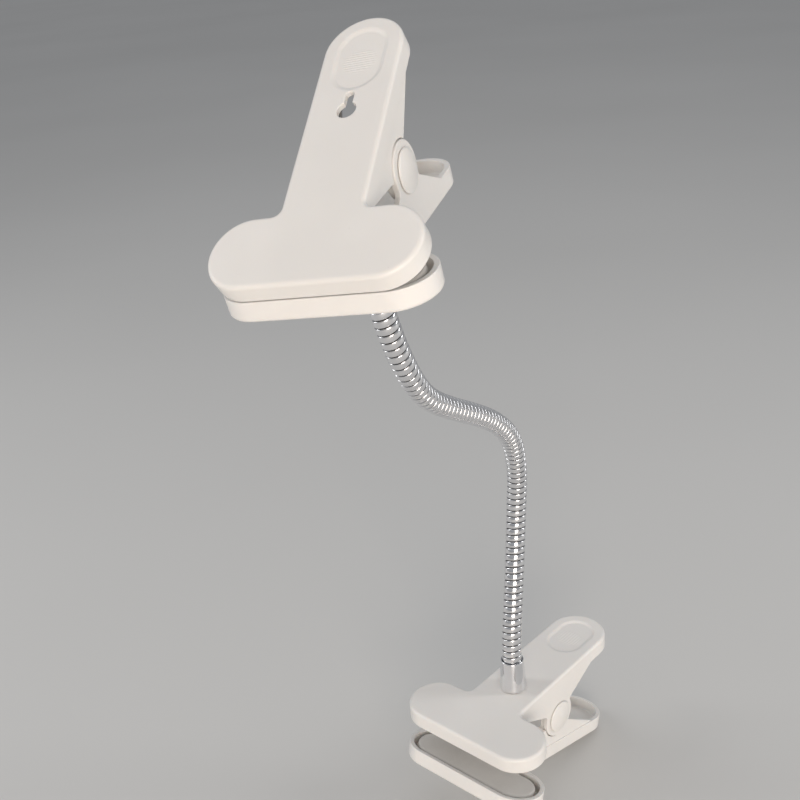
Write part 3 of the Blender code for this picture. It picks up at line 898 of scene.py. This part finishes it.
def rubber_look():
    """The matt facing, slightly dusty."""
    look, tree, shader = new_look("grip_rubber", (0.72, 0.69, 0.65), 0.75)
    place = node(tree, "TexCoord").outputs["Object"]
    tone = ranged(tree, noise(tree, place, 60, 3), 0.35, 0.65, 0, 1)
    dust = ranged(tree, noise(tree, place, 900, 4, 0.7), 0.55, 0.7, 0, 0.35)
    colour = mixed(tree, tone, (0.74, 0.71, 0.67), (0.68, 0.65, 0.61))
    tree.links.new(mixed(tree, dust, colour, (0.8, 0.78, 0.75)), shader.inputs["Base Color"])
    wear = ranged(tree, noise(tree, place, 500, 3), 0.3, 0.7, 0.66, 0.84)
    tree.links.new(wear, shader.inputs["Roughness"])
    grain = bumped(tree, noise(tree, place, 1800, 4, 0.7), 0.00006, 0.5)
    tree.links.new(grain, shader.inputs["Normal"])
    return look


def chrome_look(name, grooved):
    """Bright plating with a light haze; on the neck, painted shade: near black where the surface turns into
    the groove.
    """
    look, tree, shader = new_look(name, (0.84, 0.84, 0.85), 0.1, 1.0)
    place = node(tree, "TexCoord").outputs["Object"]
    tone = ranged(tree, noise(tree, place, 180, 3), 0.3, 0.7, 0, 1)
    colour = mixed(tree, tone, (0.86, 0.86, 0.87), (0.8, 0.8, 0.815))
    haze = ranged(tree, noise(tree, place, 420, 4, 0.65), 0.3, 0.75, 0.07, 0.17)
    if grooved:
        groove = node(tree, "Attribute", {"attribute_name": "groove"}).outputs["Fac"]
        # Painted shade: the groove weights darken the plating to near black in the grooves.
        colour = mixed(tree, groove, colour, (0.1, 0.095, 0.09))
        rough = ranged(tree, groove, 0, 1, 0, 0.45)
        haze = node(tree, "Math", {"operation": "ADD"}, i0=haze, i1=rough).outputs[0]
    tree.links.new(colour, shader.inputs["Base Color"])
    tree.links.new(haze, shader.inputs["Roughness"])
    scratches = node(tree, "Mapping", Vector=place, Scale=(1, 1, 9)).outputs[0]
    fine = bumped(tree, noise(tree, scratches, 700, 3, 0.7), 0.000006, 0.3)
    tree.links.new(fine, shader.inputs["Normal"])
    return look


def steel_look(name, first, second, low, high):
    """Drawn or plated steel, between two colours and two roughnesses."""
    look, tree, shader = new_look(name, first, low, 1.0)
    place = node(tree, "TexCoord").outputs["Object"]
    tone = ranged(tree, noise(tree, place, 240, 4, 0.65), 0.3, 0.7, 0, 1)
    tree.links.new(mixed(tree, tone, first, second), shader.inputs["Base Color"])
    drawn = node(tree, "Mapping", Vector=place, Scale=(6, 1, 6)).outputs[0]
    wear = ranged(tree, noise(tree, drawn, 700, 3), 0.3, 0.7, low, high)
    tree.links.new(wear, shader.inputs["Roughness"])
    marks = bumped(tree, noise(tree, drawn, 1400, 3, 0.7), 0.000012, 0.4)
    tree.links.new(marks, shader.inputs["Normal"])
    return look


def floor_look():
    """The studio's plain pale floor."""
    look, tree, shader = new_look("floor", (0.62, 0.615, 0.6), 0.75)
    place = node(tree, "TexCoord").outputs["Object"]
    tone = ranged(tree, noise(tree, place, 1.5, 3), 0.3, 0.7, 0, 1)
    colour = mixed(tree, tone, (0.63, 0.625, 0.61), (0.6, 0.595, 0.58))
    tree.links.new(colour, shader.inputs["Base Color"])
    return look


# ---------------------------------------------------------------- assembling

WHITE = plastic_look()
RUBBER = rubber_look()
CHROME = chrome_look("chrome_ferrule", False)
WOUND = chrome_look("chrome_neck", True)
SPRING = steel_look("spring_steel", (0.5, 0.5, 0.51), (0.4, 0.39, 0.38), 0.24, 0.4)
PLATED = steel_look("plated_steel", (0.62, 0.61, 0.58), (0.5, 0.49, 0.46), 0.26, 0.42)


def place_clip(clip, shapes):
    """A clip's eleven pieces, all but the spring wire on their bodies; returns the frame of its socket jaw.
    """
    frames = clip_frames(clip)
    fixed = clip + "_clip"
    moving = {"base": "base_lower_jaw", "top": "top_front_jaw"}[clip]
    for kind, body in (("socket", fixed), ("keyhole", moving)):
        name = clip + "_" + kind
        jaw = add_piece(name + "_jaw_moulding", shapes[kind], frames[kind], WHITE,
                        [name + "_jaw"])
        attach(even_normals(jaw), body)
        facing = add_piece(name + "_facing", shapes["facing"], frames[kind], RUBBER,
                           [name + "_grip_facing"])
        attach(even_normals(facing), body)
    pivot = frames["socket"] @ Matrix.Translation(PIVOT)
    pin = add_piece(clip + "_pin_tube", shapes["pin"], pivot @ Matrix.Rotation(pi / 2, 4, "X"), SPRING,
                    [clip + "_pivot_pin"])
    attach(pin, fixed)
    for name, turn in (("left", -pi / 2), ("right", pi / 2)):
        cap = add_piece("%s_cap_%s" % (clip, name), shapes["cap"],
                        pivot @ Matrix.Rotation(turn, 4, "X"), WHITE,
                        ["%s_pivot_cap_%s" % (clip, name)])
        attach(cap, fixed)
    socket = frames["socket"] @ Matrix.Translation((FERRULE_X, 0, 0))
    for name, look, slot, node_name in (("ferrule", CHROME, "chrome", "_ferrule"),
                                        ("washer", PLATED, "spring_steel", "_neck_washer"),
                                        ("screw", PLATED, "spring_steel", "_neck_screw")):
        piece = add_piece("%s_%s_turned" % (clip, name), shapes[name], socket, look,
                          [clip + node_name])
        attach(piece, fixed)
    wire, half = build_spring(JAW_ANGLE[clip])
    spring = add_piece(clip + "_spring_wire", wire, pivot, SPRING,
                       [clip + "_torsion_spring"])
    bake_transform(spring)
    return frames["socket"]


def place_neck(base, top):
    """The wound neck from one ferrule to the other, cut halfway between its hinges."""
    inside = Vector((FERRULE_X, 0, FERRULE_LENGTH - NECK_IN_FERRULE))
    names = sorted(name for name in JOINTS if name.startswith("neck_bend_"))
    stops = [base @ inside] + [Vector(JOINTS[name]["pos_m"]) / MM for name in names] + [top @ inside]
    line = Centreline(stops)
    flat = Matrix.Identity(4)
    first = add_piece("neck_start", wound_piece(line, 1.5, line.cuts[0]), flat, WOUND,
                      ["neck_length_01"])
    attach(first, "base_clip")
    for i, name in enumerate(names):
        low, high = line.cuts[i], line.cuts[i + 1]
        piece = add_piece("neck_winding_%02d" % (i + 1), wound_piece(line, low, high), flat, WOUND,
                          ["neck_length_%02d" % (i + 2)])
        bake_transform(piece)
    last = add_piece("neck_end", wound_piece(line, line.cuts[-1], line.length - 1.5), flat, WOUND,
                     [])
    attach(last, "top_clip")


SHAPES = {
    "socket": build_jaw("socket"),
    "keyhole": build_jaw("keyhole"),
    "facing": build_facing(),
    "cap": build_cap(),
    "pin": build_pin(),
    "ferrule": build_ferrule(),
    "washer": build_washer(),
    "screw": build_screw(),
}
base_socket = place_clip("base", SHAPES)
top_socket = place_clip("top", SHAPES)
place_neck(base_socket, top_socket)


# ---------------------------------------------------------------- studio

def build_floor():
    """A plain floor just under the lowest point."""
    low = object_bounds()[0]
    mesh = bmesh.new()
    bmesh.ops.create_grid(mesh, x_segments=8, y_segments=8, size=9.0)
    data = bpy.data.meshes.new("floor")
    mesh.to_mesh(data)
    mesh.free()
    data.transform(Matrix.Translation((0, 0, low.z - 0.0005)))
    data.materials.append(floor_look())
    floor = bpy.data.objects.new("floor", data)
    bpy.context.scene.collection.objects.link(floor)


def aim(thing, place, forward, up):
    """Put a camera or lamp at a place, looking along forward."""
    forward = Vector(forward).normalized()
    right = forward.cross(Vector(up)).normalized()
    turn = Matrix((right, right.cross(forward), -forward)).transposed().to_4x4()
    thing.matrix_world = Matrix.Translation(place) @ turn


def build_lamp(name, place, target, width, height, power, colour=(1, 1, 1)):
    """A soft rectangular light that faces a target."""
    light = bpy.data.lights.new(name, "AREA")
    light.shape = "RECTANGLE"
    light.size, light.size_y = width, height
    light.energy = power
    light.color = colour
    lamp = bpy.data.objects.new(name, light)
    bpy.context.scene.collection.objects.link(lamp)
    aim(lamp, place, Vector(target) - Vector(place), (0, 0.01, 1))


def build_camera():
    data = bpy.data.cameras.new("camera")
    data.lens, data.sensor_width = 49.95, 36.0
    data.clip_start = 0.01
    camera = bpy.data.objects.new("camera", data)
    bpy.context.scene.collection.objects.link(camera)
    aim(camera, (-0.2867, -0.2581, 0.3406), (0.6586, 0.6337, -0.4058), (0.3519, 0.2172, 0.9105))
    bpy.context.scene.camera = camera


def build_world():
    world = bpy.data.worlds.new("studio")
    world.use_nodes = True
    back = world.node_tree.nodes["Background"]
    back.inputs["Color"].default_value = (0.94, 0.96, 1.0, 1)
    back.inputs["Strength"].default_value = 0.36
    bpy.context.scene.world = world
    bpy.context.scene.view_settings.view_transform = "Standard"


build_floor()
build_camera()
build_world()
build_lamp("key", (-0.95, -1.0, 0.34), (0, 0, 0.13), 0.7, 0.7, 14, (1.0, 0.91, 0.83))
build_lamp("overhead", (0.3, 0.4, 2.2), (0.3, 0.3, 0), 2.0, 2.0, 6)
build_lamp("right_strip", (0.7, -0.75, 0.5), (0, 0, 0.12), 0.2, 0.9, 3)
build_lamp("back_strip", (-0.5, 0.9, 0.6), (0, 0, 0.15), 0.25, 0.9, 3)
